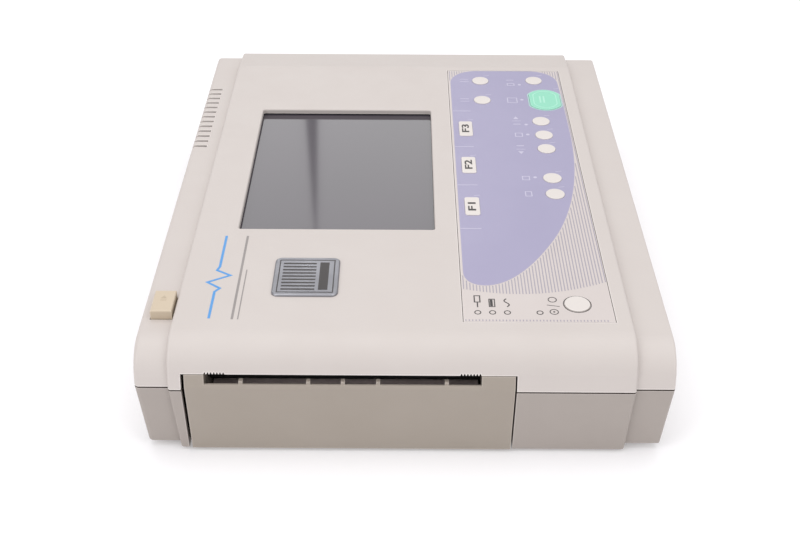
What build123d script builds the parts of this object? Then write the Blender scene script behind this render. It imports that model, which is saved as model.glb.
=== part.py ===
from build123d import *
import math
import os

os.makedirs("parts", exist_ok=True)

# ---------------------------------------------------------------- driving dimensions (mm)
# +X is the operator's side, +Y the far end, +Z up. Origin: middle of the footprint, on the table.
WIDTH = 218.0
LENGTH = 288.7
TOP_Z = 54.0
SPLIT_Z = 35.5
FOOT_HEIGHT = 1.5
WALL = 2.5

BAND_X = (-95.0, 93.1)
BAND_BOTTOM_X = (-93.2, 92.0)
BAND_FRONT = -LENGTH / 2
BAND_BACK = LENGTH / 2
BAND_CREASE_Y = 120.1
BAND_BACK_DROP = 3.1
BAND_EDGE_R = 1.2

SHOULDER_X = (-WIDTH / 2, WIDTH / 2)
SHOULDER_BOTTOM_X = (-107.0, 107.0)
SHOULDER_TOP = TOP_Z - 3.2
SHOULDER_FRONT = -142.3
SHOULDER_BACK = 139.65
SHOULDER_BOTTOM = 3.2
SHOULDER_CREASE_Y = 130.0
SHOULDER_BACK_DROP = 0.4
SHOULDER_LEFT_R = 2.1
SHOULDER_RIGHT_R = 1.0
LOWER_RIM_R = 0.8

NOSE_R = 15.0
NOSE_LEAN = 14.0
FRONT_TUCK = 3.6
BACK_TUCK = 3.0
GROOVE = 0.7
GROOVE_DEPTH = 1.6

DISPLAY_X = (-75.5, 13.5)
DISPLAY_Y = (-52.15, 66.35)
DISPLAY_CORNER_R = 1.2
DISPLAY_LIP_R = 0.9
GLASS_MARGIN = 3.8
GLASS_TOP = 50.8
GLASS_THICK = 1.2
GASKET_THICK = TOP_Z - WALL - GLASS_TOP

PANEL_X = (23.6, 86.3)
PANEL_Y = (-122.4, 115.6)
PANEL_FLOOR = 52.0
PANEL_UNDERSIDE = 50.0
PANEL_TOP = 53.9
PANEL_GAP = 0.3
CIRCUIT_THICK = 0.4
DOME_THICK = 0.3
KEY_TRAVEL = 0.35
KEY_TOP = 54.4
KEY_EDGE_R = 0.3
KEY_GAP = 0.3
KEY_FLANGE = 0.8
CIRCUIT_TOP = PANEL_FLOOR + CIRCUIT_THICK
KEY_FOOT = CIRCUIT_TOP + DOME_THICK + KEY_TRAVEL + 0.05
KEY_FLANGE_Z = (KEY_FOOT, KEY_FOOT + 0.3)

DRAWER_X = (-88.3, 44.4)
DRAWER_OPENING_X = (-89.7, 45.1)
DRAWER_KINK = (-144.15, 36.3)
DRAWER_KINK_R = 2.0
DRAWER_BOTTOM = (-141.1, 1.8)
DRAWER_THICK = 3.0
SLOT_X = (-80.4, 30.9)
SLOT_Z = (37.8, 42.3)
SLOT_BACK_Y = -138.4
EAR_TOP = 42.0
EAR_DEPTH = 7.0
LIP_LAND = 1.0
LIP_R = 0.7
RIB_TOP = 39.2
RIB_WIDTH = 1.6
RIB_DEPTH = 2.0
TEAR_TEETH = 7
TEAR_PITCH = 1.25
TEAR_HEIGHT = 1.0
TRAY_X = (-82.4, 33.6)
TRAY_Y = (-134.4, 13.6)
TRAY_Z = (4.5, 34.0)
TRAY_WALL = 2.0
TRAY_FRONT_TOP = 29.5
PAPER_LENGTH = 140.0
PAPER_STACK = 20.0

PLATEN_Y = -128.3
PLATEN_Z = 36.5
PLATEN_R = 6.0
SHAFT_R = 2.0
GEAR_X = (36.0, 40.0)
MODULE = 0.6
PLATEN_TEETH = 18
IDLER_TEETH = 30
PINION_TEETH = 12
MESH_SLACK = 0.1
RUN_FIT = 0.05

BUTTON_X = (-104.7, -95.8)
BUTTON_Y = (-117.4, -102.6)
BUTTON_TOP = 55.0
BUTTON_BASE = 46.0

VENT_COUNT = 13
VENT_PITCH = 5.43
VENT_FIRST_Y = 30.85
VENT_WIDTH = 2.0
VENT_INNER_X = -101.3

CASE_SCREWS = [(side * 99.5, y) for side in (-1, 1) for y in (-129.0, 18.0, 132.0)]
FEET = [(side * 80.0, y) for side in (-1, 1) for y in (-117.0, 122.0)]
FOOT_R = 6.0
FOOT_INSET = 0.8

BOARD_Z = (12.0, 13.6)
BOARD_X = (50.0, 89.5)
BOARD_Y = (-126.0, 130.0)
SUPPLY_X = (-89.5, -48.0)
SUPPLY_Y = (34.0, 132.0)
BOARD_SCREWS = [(x, y) for x in (54.0, 85.5) for y in (-122.0, 4.0, 124.0)]
SUPPLY_SCREWS = [(x, y) for x in (-85.5, -52.0) for y in (38.0, 128.0)]
PILLAR_R = 3.2
FLOOR_Z = FOOT_HEIGHT + WALL

IDLER_Y = PLATEN_Y + MODULE * (PLATEN_TEETH + IDLER_TEETH) / 2 + MESH_SLACK
PINION_Y = IDLER_Y + MODULE * (IDLER_TEETH + PINION_TEETH) / 2 + MESH_SLACK

# Keys: name, shape, centre and size across X and along Y.
SOFT_KEY = (7.0, 15.8)
ROUND_KEY = (9.0, 9.2)
START_KEY = (16.6, 23.6)
POWER_KEY = (10.6, 10.6)
KEYS = {
    "soft_key_1": ("block", (31.4, -32.1), SOFT_KEY),
    "soft_key_2": ("block", (31.4, 6.9), SOFT_KEY),
    "soft_key_3": ("block", (31.4, 45.1), SOFT_KEY),
    "upper_left_key": ("oval", (41.7, 102.1), ROUND_KEY),
    "lower_left_key": ("oval", (41.6, 78.3), ROUND_KEY),
    "mode_key": ("oval", (71.4, 102.6), ROUND_KEY),
    "start_key": ("barrel", (75.5, 78.9), START_KEY),
    "lead_up_key": ("oval", (71.2, 53.9), ROUND_KEY),
    "lead_key": ("oval", (71.4, 38.6), ROUND_KEY),
    "lead_down_key": ("oval", (71.3, 24.0), ROUND_KEY),
    "gain_key": ("oval", (71.4, -5.5), ROUND_KEY),
    "speed_key": ("oval", (71.3, -20.5), ROUND_KEY),
    "power_key": ("oval", (71.6, -109.6), POWER_KEY),
}
STATUS_LEDS = [(x, -115.6) for x in (30.0, 36.1, 42.2, 55.6)]
KEY_LEDS = [(63.1, y) for y in (97.6, 79.2, 50.3, 39.4, -4.6)]


# ---------------------------------------------------------------- shared helpers
def save(piece, name):
    """Label a finished piece and write its STEP file."""
    piece.part.label = name
    export_step(piece.part, f"parts/{name}.step")


def block(x, y, z, mode=Mode.ADD):
    """Box between (low, high) limits along each axis."""
    centre = [(low + high) / 2 for low, high in (x, y, z)]
    with Locations(tuple(centre)):
        Box(x[1] - x[0], y[1] - y[0], z[1] - z[0], mode=mode)


def rod_x(y, z, radius, x, mode=Mode.ADD):
    """Round rod along X."""
    with Locations(Location((x[0], y, z), (0, 90, 0))):
        Cylinder(radius, x[1] - x[0], align=(Align.CENTER, Align.CENTER, Align.MIN), mode=mode)


def rod_z(x, y, radius, z, mode=Mode.ADD):
    """Round rod along Z."""
    with Locations((x, y, z[0])):
        Cylinder(radius, z[1] - z[0], align=(Align.CENTER, Align.CENTER, Align.MIN), mode=mode)


def grow(limits, amount):
    """Widen a (low, high) pair by the same amount at both ends."""
    return (limits[0] - amount, limits[1] + amount)


def upper_block(x, front, back, top, crease_y, back_drop, rims=None, inset=0.0):
    """Upper half of the case: leaning front, round nose, flat top and a bevel at the back."""
    lean = math.radians(NOSE_LEAN)
    nose_r = NOSE_R - inset
    top = top - inset
    front = front + inset / math.cos(lean)
    back = back - inset
    tangent_z = top - nose_r + nose_r * math.sin(lean)
    tangent_y = front + (tangent_z - SPLIT_Z) * math.tan(lean)
    nose_y = tangent_y + nose_r * math.cos(lean)
    with BuildPart() as upper:
        with BuildSketch(Plane.YZ.offset(x[0] + inset)):
            with BuildLine():
                Line((front, SPLIT_Z), (tangent_y, tangent_z))
                CenterArc((nose_y, top - nose_r), nose_r, 90, 90 - NOSE_LEAN)
                Polyline((nose_y, top), (crease_y, top), (back, top - back_drop), (back, SPLIT_Z))
                Line((back, SPLIT_Z), (front, SPLIT_Z))
            make_face()
        extrude(amount=x[1] - x[0] - 2 * inset)
        if rims:
            back_edge = upper.edges().filter_by(Axis.X).sort_by(Axis.Y)[-2:].sort_by(Axis.Z)[-1]
            fillet(back_edge, rims[0])
            for end, radius in zip((0, -1), rims):
                face = upper.faces().filter_by(Axis.X).sort_by(Axis.X)[end]
                fillet([edge for edge in face.edges() if edge.center().Z > SPLIT_Z + 0.01], radius)
    return upper.part


def lower_block(x, bottom_x, front, back, bottom, corners, inset=0.0, rim=0.0):
    """Lower half of the case: a tub whose walls lean inwards towards the table."""
    left_r, right_r = [max(corner - inset, 0.5) for corner in corners]
    sections = (
        (SPLIT_Z, x, front, back),
        (bottom + inset, bottom_x, front + FRONT_TUCK, back - BACK_TUCK),
    )
    with BuildPart() as lower:
        for z, (left, right), low, high in sections:
            with BuildSketch(Plane.XY.offset(z)) as section:
                with Locations(((left + right) / 2, (low + high) / 2)):
                    Rectangle(right - left - 2 * inset, high - low - 2 * inset)
                fillet(section.vertices().sort_by(Axis.X)[:2], left_r)
                fillet(section.vertices().sort_by(Axis.X)[-2:], right_r)
        loft(ruled=True)
        if rim > 0:
            fillet(lower.faces().sort_by(Axis.Z)[0].edges(), rim)
    return lower.part


def band_upper(inset=0.0, rims=None):
    return upper_block(
        BAND_X, BAND_FRONT, BAND_BACK, TOP_Z, BAND_CREASE_Y, BAND_BACK_DROP, rims, inset
    )


def shoulder_upper(inset=0.0, rims=None):
    return upper_block(
        SHOULDER_X, SHOULDER_FRONT, SHOULDER_BACK, SHOULDER_TOP, SHOULDER_CREASE_Y, SHOULDER_BACK_DROP,
        rims, inset,
    )


def band_lower(inset=0.0, rim=0.0):
    return lower_block(
        BAND_X, BAND_BOTTOM_X, BAND_FRONT, BAND_BACK, FOOT_HEIGHT, (BAND_EDGE_R, BAND_EDGE_R), inset, rim
    )


def shoulder_lower(inset=0.0, rim=0.0):
    return lower_block(
        SHOULDER_X, SHOULDER_BOTTOM_X, SHOULDER_FRONT, SHOULDER_BACK,
        SHOULDER_BOTTOM, (SHOULDER_LEFT_R, SHOULDER_RIGHT_R), inset, rim,
    )


def key_outline(shape, size, extra=0.0):
    """Outline of one key, widened all round by extra."""
    width = size[0] + 2 * extra
    length = size[1] + 2 * extra
    if shape == "block":
        RectangleRounded(width, length, 1.2 + extra)
    elif shape == "barrel":
        Ellipse(width * 0.6, length / 2)
        Rectangle(width, length, mode=Mode.INTERSECT)
    else:
        Ellipse(width / 2, length / 2)


def gear_outline(teeth, phase):
    """Straight-flanked gear outline, thinned for backlash; phase turns it, in degrees."""
    pitch_r = MODULE * teeth / 2
    tip_r = pitch_r + MODULE
    root_r = pitch_r - 1.25 * MODULE
    step = 360.0 / teeth
    root_half = 0.31 * step
    tip_half = 0.10 * step
    points = []
    for tooth in range(teeth):
        middle = phase + tooth * step
        corners = ((root_r, -root_half), (tip_r, -tip_half), (tip_r, tip_half), (root_r, root_half))
        for radius, offset in corners:
            angle = math.radians(middle + offset)
            points.append((radius * math.cos(angle), radius * math.sin(angle)))
    Polygon(*points, align=None)


def coil(start, direction, length, radius, wire, turns):
    """Compression spring of a given length from a start point along a direction."""
    rise = length - 2 * wire
    shift = Vector(direction) * wire
    with BuildLine() as path:
        Helix(rise / turns, rise, radius, center=Vector(start) + shift, direction=direction)
    with BuildSketch(Plane(origin=path.line @ 0, z_dir=path.line % 0)) as section:
        Circle(wire)
    sweep(sections=section.sketch, path=path.line, is_frenet=True)


# ---------------------------------------------------------------- case
with BuildPart() as top_case:
    add(shoulder_upper(rims=(SHOULDER_LEFT_R, SHOULDER_RIGHT_R)))
    add(band_upper(rims=(BAND_EDGE_R, BAND_EDGE_R)))
    add(band_upper(inset=WALL), mode=Mode.SUBTRACT)
    add(shoulder_upper(inset=WALL), mode=Mode.SUBTRACT)
    # Thicker floor under the keypad, then the shallow pocket that the keypad lies in.
    block(grow(PANEL_X, 2.0), grow(PANEL_Y, 2.0), (PANEL_UNDERSIDE, TOP_Z - 1.0))
    block(PANEL_X, PANEL_Y, (PANEL_FLOOR, TOP_Z + 1), mode=Mode.SUBTRACT)
    # Display opening with a rounded lip.
    with BuildSketch(Plane.XY.offset(TOP_Z - 5)):
        with Locations((sum(DISPLAY_X) / 2, sum(DISPLAY_Y) / 2)):
            RectangleRounded(DISPLAY_X[1] - DISPLAY_X[0], DISPLAY_Y[1] - DISPLAY_Y[0], DISPLAY_CORNER_R)
    extrude(amount=10, mode=Mode.SUBTRACT)
    lip = top_case.edges().filter_by_position(Axis.Z, *grow((TOP_Z, TOP_Z), 0.01))
    lip = lip.filter_by_position(Axis.X, *grow(DISPLAY_X, 0.1))
    lip = lip.filter_by_position(Axis.Y, *grow(DISPLAY_Y, 0.1))
    fillet(lip, DISPLAY_LIP_R)
    # Recorder opening in the front wall, with a row of paper-tear teeth at each end of the slot.
    block(DRAWER_OPENING_X, (BAND_FRONT - 1, SLOT_BACK_Y), (SPLIT_Z - 1, SLOT_Z[1]), mode=Mode.SUBTRACT)
    for first in (SLOT_X[0], SLOT_X[1] - TEAR_TEETH * TEAR_PITCH):
        for tooth in range(TEAR_TEETH):
            left = first + TEAR_PITCH * tooth
            with BuildSketch(Plane.XZ.offset(-BAND_FRONT + 1)):
                Polygon(
                    (left, SLOT_Z[1] - 0.1), (left + 1.1, SLOT_Z[1] - 0.1),
                    (left + 0.55, SLOT_Z[1] + TEAR_HEIGHT), align=None,
                )
            extrude(amount=-5, mode=Mode.SUBTRACT)
    # Release-button hole and cooling slots in the rear shoulder.
    button_hole_x = (BUTTON_X[0] - 0.4, BAND_X[0] - 0.3)
    block(button_hole_x, grow(BUTTON_Y, 0.4), (SHOULDER_TOP - 4, SHOULDER_TOP + 1), mode=Mode.SUBTRACT)
    for slot in range(VENT_COUNT):
        middle = VENT_FIRST_Y + slot * VENT_PITCH
        block(
            (SHOULDER_X[0] - 1, VENT_INNER_X),
            (middle - VENT_WIDTH / 2, middle + VENT_WIDTH / 2),
            (46.0, SHOULDER_TOP + 1),
            mode=Mode.SUBTRACT,
        )
    for x, y in CASE_SCREWS:
        rod_z(x, y, 3.4, (SPLIT_Z, SHOULDER_TOP - WALL + 0.5))
        rod_z(x, y, 1.2, (SPLIT_Z - 1, SHOULDER_TOP - 6), mode=Mode.SUBTRACT)
save(top_case, "top_case")

BATTERY_X = (-40.0, 35.0)
BATTERY_Y = (26.0, 104.0)
COVER_X = grow(BATTERY_X, 3.0)
COVER_Y = grow(BATTERY_Y, 3.0)
INLET_X = -107.0
INLET_Y = (80.0, 108.0)
INLET_Z = (10.0, 30.0)
TERMINAL_X = -104.8
TERMINAL_Y = 121.0
TERMINAL_Z = 20.0
CONNECTOR_X = 70.0
CONNECTOR_Y = (137.8, 140.8)
CONNECTOR_Z = 20.0
JACK_SPACING = 33.3

with BuildPart() as split_groove:
    add(shoulder_lower())
    add(band_lower())
    add(shoulder_lower(inset=GROOVE_DEPTH), mode=Mode.SUBTRACT)
    add(band_lower(inset=GROOVE_DEPTH), mode=Mode.SUBTRACT)
    block((-WIDTH, WIDTH), (-LENGTH, LENGTH), (SPLIT_Z - GROOVE, SPLIT_Z + 1), mode=Mode.INTERSECT)

with BuildPart() as bottom_case:
    add(shoulder_lower(rim=LOWER_RIM_R))
    add(band_lower(rim=LOWER_RIM_R))
    add(shoulder_lower(inset=WALL), mode=Mode.SUBTRACT)
    add(band_lower(inset=WALL), mode=Mode.SUBTRACT)
    add(split_groove.part, mode=Mode.SUBTRACT)
    # Opening for the recorder drawer, the battery bay and the two kinds of socket.
    block(DRAWER_OPENING_X, (BAND_FRONT - 1, TRAY_Y[0] - 0.2), (0, SPLIT_Z + 1), mode=Mode.SUBTRACT)
    block(COVER_X, COVER_Y, (0, FLOOR_Z + 1), mode=Mode.SUBTRACT)
    block((-112, -100), INLET_Y, INLET_Z, mode=Mode.SUBTRACT)
    rod_x(TERMINAL_Y, TERMINAL_Z, 5.0, (-112, -100), mode=Mode.SUBTRACT)
    block(
        grow((CONNECTOR_X, CONNECTOR_X), 20.0),
        (CONNECTOR_Y[0] + 0.5, BAND_BACK + 1),
        grow((CONNECTOR_Z, CONNECTOR_Z), 6.5),
        mode=Mode.SUBTRACT,
    )
    for x, y in CASE_SCREWS:
        rod_z(x, y, 3.4, (SHOULDER_BOTTOM + 1, SPLIT_Z))
        rod_z(x, y, 1.6, (0, SPLIT_Z + 1), mode=Mode.SUBTRACT)
        rod_z(x, y, 3.0, (0, SHOULDER_BOTTOM + 2.5), mode=Mode.SUBTRACT)
    for x, y in BOARD_SCREWS + SUPPLY_SCREWS:
        rod_z(x, y, PILLAR_R, (FLOOR_Z - 0.5, BOARD_Z[0]))
        rod_z(x, y, 1.4, (FLOOR_Z, BOARD_Z[0] + 1), mode=Mode.SUBTRACT)
    for x, y in FEET:
        rod_z(x, y, FOOT_R + 0.1, (0, FOOT_HEIGHT + FOOT_INSET), mode=Mode.SUBTRACT)
save(bottom_case, "bottom_case")

with BuildPart() as rubber_feet:
    for x, y in FEET:
        rod_z(x, y, FOOT_R, (0, FOOT_HEIGHT + FOOT_INSET))
save(rubber_feet, "rubber_feet")

with BuildPart() as case_screws:
    for x, y in CASE_SCREWS:
        rod_z(x, y, 2.7, (SHOULDER_BOTTOM + 0.6, SHOULDER_BOTTOM + 2.5))
        rod_z(x, y, 1.15, (SHOULDER_BOTTOM + 2.5, SPLIT_Z + 8))
save(case_screws, "case_screws")

with BuildPart() as battery_cover:
    block(grow(COVER_X, -0.3), grow(COVER_Y, -0.3), (FOOT_HEIGHT, FLOOR_Z))
save(battery_cover, "battery_cover")

with BuildPart() as battery_pack:
    block(BATTERY_X, BATTERY_Y, (FLOOR_Z, 25.5))
    fillet(battery_pack.edges().filter_by(Axis.Y), 3.0)
save(battery_pack, "battery_pack")

# ---------------------------------------------------------------- display
with BuildPart() as display_gasket:
    block(grow(DISPLAY_X, GLASS_MARGIN), grow(DISPLAY_Y, GLASS_MARGIN), (GLASS_TOP, GLASS_TOP + GASKET_THICK))
    block(grow(DISPLAY_X, 0.8), grow(DISPLAY_Y, 0.8), (GLASS_TOP - 1, GLASS_TOP + 2), mode=Mode.SUBTRACT)
save(display_gasket, "display_gasket")

with BuildPart() as display_window:
    block(grow(DISPLAY_X, GLASS_MARGIN), grow(DISPLAY_Y, GLASS_MARGIN), (GLASS_TOP - GLASS_THICK, GLASS_TOP))
save(display_window, "display_window")

with BuildPart() as display_module:
    block(grow(DISPLAY_X, 7.0), grow(DISPLAY_Y, 12.0), (41.0, GLASS_TOP - GLASS_THICK - 0.4))
    fillet(display_module.edges().filter_by(Axis.Z), 1.5)
save(display_module, "display_module")

# ---------------------------------------------------------------- keypad
INNER_PANEL_X = grow(PANEL_X, -PANEL_GAP)
INNER_PANEL_Y = grow(PANEL_Y, -PANEL_GAP)

with BuildPart() as membrane_circuit:
    block(INNER_PANEL_X, INNER_PANEL_Y, (PANEL_FLOOR, CIRCUIT_TOP))
save(membrane_circuit, "membrane_circuit")

with BuildPart() as membrane_overlay:
    block(INNER_PANEL_X, INNER_PANEL_Y, (CIRCUIT_TOP, PANEL_TOP))
    for shape, centre, size in KEYS.values():
        with BuildSketch(Plane.XY.offset(CIRCUIT_TOP)):
            with Locations(centre):
                key_outline(shape, size, KEY_FLANGE + KEY_GAP)
        extrude(amount=KEY_FLANGE_Z[1] + 0.05 - CIRCUIT_TOP, mode=Mode.SUBTRACT)
        with BuildSketch(Plane.XY.offset(CIRCUIT_TOP)):
            with Locations(centre):
                key_outline(shape, size, KEY_GAP)
        extrude(amount=3, mode=Mode.SUBTRACT)
    for x, y in STATUS_LEDS + KEY_LEDS:
        rod_z(x, y, 1.3, (CIRCUIT_TOP, CIRCUIT_TOP + 1.1), mode=Mode.SUBTRACT)
save(membrane_overlay, "membrane_overlay")

with BuildPart() as dome_contacts:
    for shape, centre, size in KEYS.values():
        rod_z(centre[0], centre[1], 2.6, (CIRCUIT_TOP, CIRCUIT_TOP + DOME_THICK))
save(dome_contacts, "dome_contacts")

with BuildPart() as status_leds:
    for x, y in STATUS_LEDS + KEY_LEDS:
        rod_z(x, y, 1.0, (CIRCUIT_TOP, CIRCUIT_TOP + 0.9))
save(status_leds, "status_leds")

for key_name, (shape, centre, size) in KEYS.items():
    with BuildPart() as key:
        with BuildSketch(Plane.XY.offset(KEY_FLANGE_Z[0])):
            with Locations(centre):
                key_outline(shape, size, KEY_FLANGE)
        extrude(amount=KEY_FLANGE_Z[1] - KEY_FLANGE_Z[0])
        with BuildSketch(Plane.XY.offset(KEY_FLANGE_Z[1])):
            with Locations(centre):
                key_outline(shape, size)
        extrude(amount=KEY_TOP - KEY_FLANGE_Z[1])
        fillet(key.faces().sort_by(Axis.Z)[-1].edges(), KEY_EDGE_R)
    save(key, key_name)

with BuildPart() as asset_label:
    with BuildSketch(Plane.XY.offset(TOP_Z)):
        with Locations((-42.2, -91.3)):
            RectangleRounded(28.1, 28.5, 3.0)
    extrude(amount=0.9)
    fillet(asset_label.faces().sort_by(Axis.Z)[-1].edges(), 0.6)
save(asset_label, "asset_label")

# ---------------------------------------------------------------- recorder drawer
with BuildPart() as drawer_front:
    # Panel with ears that lean back with the case above; the lip of the slot between them slopes away.
    lean = math.tan(math.radians(NOSE_LEAN))
    lip_y = DRAWER_KINK[0] + (SLOT_Z[0] - DRAWER_KINK[1]) * lean
    ear_y = DRAWER_KINK[0] + (EAR_TOP - DRAWER_KINK[1]) * lean
    panel_back = DRAWER_KINK[0] + DRAWER_THICK
    with BuildSketch(Plane.YZ.offset(DRAWER_X[0])):
        Polygon(
            DRAWER_BOTTOM, DRAWER_KINK, (ear_y, EAR_TOP), (ear_y + EAR_DEPTH, EAR_TOP),
            (ear_y + EAR_DEPTH, SLOT_Z[0] - 3), (panel_back, SLOT_Z[0] - 3),
            (DRAWER_BOTTOM[0] + DRAWER_THICK, DRAWER_BOTTOM[1]), align=None,
        )
    extrude(amount=DRAWER_X[1] - DRAWER_X[0])
    kink = drawer_front.edges().filter_by(Axis.X).sort_by(Axis.Y)[0]
    fillet(kink, DRAWER_KINK_R)
    with BuildSketch(Plane.YZ.offset(SLOT_X[0])):
        Polygon(
            (lip_y - 2, SLOT_Z[0]), (lip_y + LIP_LAND, SLOT_Z[0]), (panel_back, SLOT_Z[0] - 3.5),
            (ear_y + EAR_DEPTH + 1, SLOT_Z[0] - 3.5), (ear_y + EAR_DEPTH + 1, EAR_TOP + 1),
            (lip_y - 2, EAR_TOP + 1), align=None,
        )
    extrude(amount=SLOT_X[1] - SLOT_X[0], mode=Mode.SUBTRACT)
    lip_edges = drawer_front.edges().filter_by(Axis.X)
    lip_edges = lip_edges.filter_by_position(Axis.Z, *grow((SLOT_Z[0], SLOT_Z[0]), 0.01))
    fillet(lip_edges.sort_by(Axis.Y)[0], LIP_R)
    # Guide ribs that carry the paper over the lip.
    for x in (-65.7, -38.6, -24.7, -10.6, 16.9):
        block(grow((x, x), RIB_WIDTH / 2), (lip_y + 0.6, lip_y + 0.6 + RIB_DEPTH), (SLOT_Z[0] - 3, RIB_TOP))
    # Feet behind the panel that meet the tray.
    for x in (-70.0, 20.0):
        block((x - 5, x + 5), (TRAY_Y[0] - 5.6, TRAY_Y[0]), (14.0, 20.0))
save(drawer_front, "drawer_front")

RUNNER_Z = (12.0, 15.0)
RAIL_Y = (TRAY_Y[0] + 4, TRAY_Y[1] + 2)
LUG_Y = (-109.5, -105.8)
with BuildPart() as drawer_tray:
    block(TRAY_X, TRAY_Y, TRAY_Z)
    well_z = (TRAY_Z[0] + TRAY_WALL, TRAY_Z[1] + 1)
    block(grow(TRAY_X, -TRAY_WALL), grow(TRAY_Y, -TRAY_WALL), well_z, mode=Mode.SUBTRACT)
    block((TRAY_X[0] - 2.2, TRAY_X[0]), grow(TRAY_Y, -2), RUNNER_Z)
    block((TRAY_X[1], TRAY_X[1] + 2.2), grow(TRAY_Y, -2), RUNNER_Z)
    # The front wall is low in the middle, to clear the platen.
    front_gap = grow((TRAY_Y[0], TRAY_Y[0] + TRAY_WALL), 1)
    block(grow(TRAY_X, -TRAY_WALL), front_gap, (TRAY_FRONT_TOP, TRAY_Z[1] + 1), mode=Mode.SUBTRACT)
    # Bearing ears for the platen, and the lug that the latch catches.
    for inner in ((TRAY_X[0], TRAY_X[0] + TRAY_WALL), (TRAY_X[1] - TRAY_WALL, TRAY_X[1])):
        block(inner, (PLATEN_Y - 6, PLATEN_Y + 6), (TRAY_Z[1] - 1, 41.2))
        rod_x(PLATEN_Y, PLATEN_Z, 4.0, grow(inner, 1), mode=Mode.SUBTRACT)
    block((-88.0, TRAY_X[0]), LUG_Y, (30.0, TRAY_Z[1]))
save(drawer_tray, "drawer_tray")

with BuildPart() as paper_pack:
    block(
        (TRAY_X[0] + TRAY_WALL + 1, TRAY_X[1] - TRAY_WALL - 1),
        (TRAY_Y[0] + TRAY_WALL + 1, TRAY_Y[0] + TRAY_WALL + 1 + PAPER_LENGTH),
        (TRAY_Z[0] + TRAY_WALL, TRAY_Z[0] + TRAY_WALL + PAPER_STACK),
    )
save(paper_pack, "paper_pack")

with BuildPart() as drawer_rails:
    for side, wall in ((1, TRAY_X[0] - 2.5), (-1, TRAY_X[1] + 2.5)):
        outer = sorted((wall, wall - side * 1.4))
        ledge = sorted((wall, wall + side * 2.2))
        block(outer, RAIL_Y, (FLOOR_Z, RUNNER_Z[1] + 1.8))
        block(ledge, RAIL_Y, (RUNNER_Z[0] - 1.8, RUNNER_Z[0] - 0.3))
        block(ledge, RAIL_Y, (RUNNER_Z[1] + 0.3, RUNNER_Z[1] + 1.8))
save(drawer_rails, "drawer_rails")

# ---------------------------------------------------------------- platen and its drive
with BuildPart() as platen_bearings:
    for inner in ((TRAY_X[0], TRAY_X[0] + TRAY_WALL), (TRAY_X[1] - TRAY_WALL, TRAY_X[1])):
        rod_x(PLATEN_Y, PLATEN_Z, 3.95, inner)
        rod_x(PLATEN_Y, PLATEN_Z, SHAFT_R + RUN_FIT, grow(inner, 1), mode=Mode.SUBTRACT)
save(platen_bearings, "platen_bearings")

with BuildPart() as platen_shaft:
    rod_x(PLATEN_Y, PLATEN_Z, SHAFT_R, (-83.0, 40.6))
save(platen_shaft, "platen_shaft")

with BuildPart() as platen_roller:
    rod_x(PLATEN_Y, PLATEN_Z, PLATEN_R, (-79.5, 30.7))
    rod_x(PLATEN_Y, PLATEN_Z, SHAFT_R + 0.02, (-81, 32), mode=Mode.SUBTRACT)
save(platen_roller, "platen_roller")

with BuildPart() as platen_gear:
    with BuildSketch(Plane(origin=(GEAR_X[0], PLATEN_Y, PLATEN_Z), x_dir=(0, 1, 0), z_dir=(1, 0, 0))):
        gear_outline(PLATEN_TEETH, 0.0)
    extrude(amount=GEAR_X[1] - GEAR_X[0])
    rod_x(PLATEN_Y, PLATEN_Z, SHAFT_R + 0.02, grow(GEAR_X, 1), mode=Mode.SUBTRACT)
save(platen_gear, "platen_gear")

with BuildPart() as idler_gear:
    with BuildSketch(Plane(origin=(GEAR_X[0], IDLER_Y, PLATEN_Z), x_dir=(0, 1, 0), z_dir=(1, 0, 0))):
        gear_outline(IDLER_TEETH, 180.0 / IDLER_TEETH)
    extrude(amount=GEAR_X[1] - GEAR_X[0])
    rod_x(IDLER_Y, PLATEN_Z, 1.5 + RUN_FIT, grow(GEAR_X, 1), mode=Mode.SUBTRACT)
save(idler_gear, "idler_gear")

with BuildPart() as idler_shaft:
    rod_x(IDLER_Y, PLATEN_Z, 1.5, (35.7, 42.6))
save(idler_shaft, "idler_shaft")

MOTOR_PLATE_X = (41.2, 42.6)
with BuildPart() as motor_pinion:
    with BuildSketch(Plane(origin=(GEAR_X[0], PINION_Y, PLATEN_Z), x_dir=(0, 1, 0), z_dir=(1, 0, 0))):
        gear_outline(PINION_TEETH, 0.0)
    extrude(amount=GEAR_X[1] - GEAR_X[0])
    rod_x(PINION_Y, PLATEN_Z, 1.0, (GEAR_X[0], 44.4))
save(motor_pinion, "motor_pinion")

with BuildPart() as stepper_motor:
    rod_x(PINION_Y, PLATEN_Z, 12.5, (MOTOR_PLATE_X[1], 58.6))
    rod_x(PINION_Y, PLATEN_Z, 1.0 + RUN_FIT, (42, 45), mode=Mode.SUBTRACT)
save(stepper_motor, "stepper_motor")

# ---------------------------------------------------------------- head and chassis
PIVOT_Y = PLATEN_Y + 18.0
PIVOT_Z = 46.4
PIVOT_R = 1.0
LEFT_EAR_X = (-86.0, -84.8)
RIGHT_EAR_X = (34.2, 35.4)
CHASSIS_Y = (PLATEN_Y + 10, PLATEN_Y + 42)
HEAD_BACK_Y = PLATEN_Y + 14.5
HEAD_X = (-80.0, 31.0)
LUG_X = (-83.5, 33.2)

with BuildPart() as printer_chassis:
    block((LEFT_EAR_X[0], MOTOR_PLATE_X[1]), CHASSIS_Y, (48.6, 49.8))
    for ear in (LEFT_EAR_X, RIGHT_EAR_X):
        block(ear, grow((PIVOT_Y, PIVOT_Y), 4), (44.0, 49.0))
        rod_x(PIVOT_Y, PIVOT_Z, PIVOT_R + 0.02, grow(ear, 1), mode=Mode.SUBTRACT)
    block(MOTOR_PLATE_X, CHASSIS_Y, (24.0, 49.0))
    rod_x(IDLER_Y, PLATEN_Z, 1.52, grow(MOTOR_PLATE_X, 1), mode=Mode.SUBTRACT)
    rod_x(PINION_Y, PLATEN_Z, 2.5, grow(MOTOR_PLATE_X, 1), mode=Mode.SUBTRACT)
save(printer_chassis, "printer_chassis")

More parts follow.
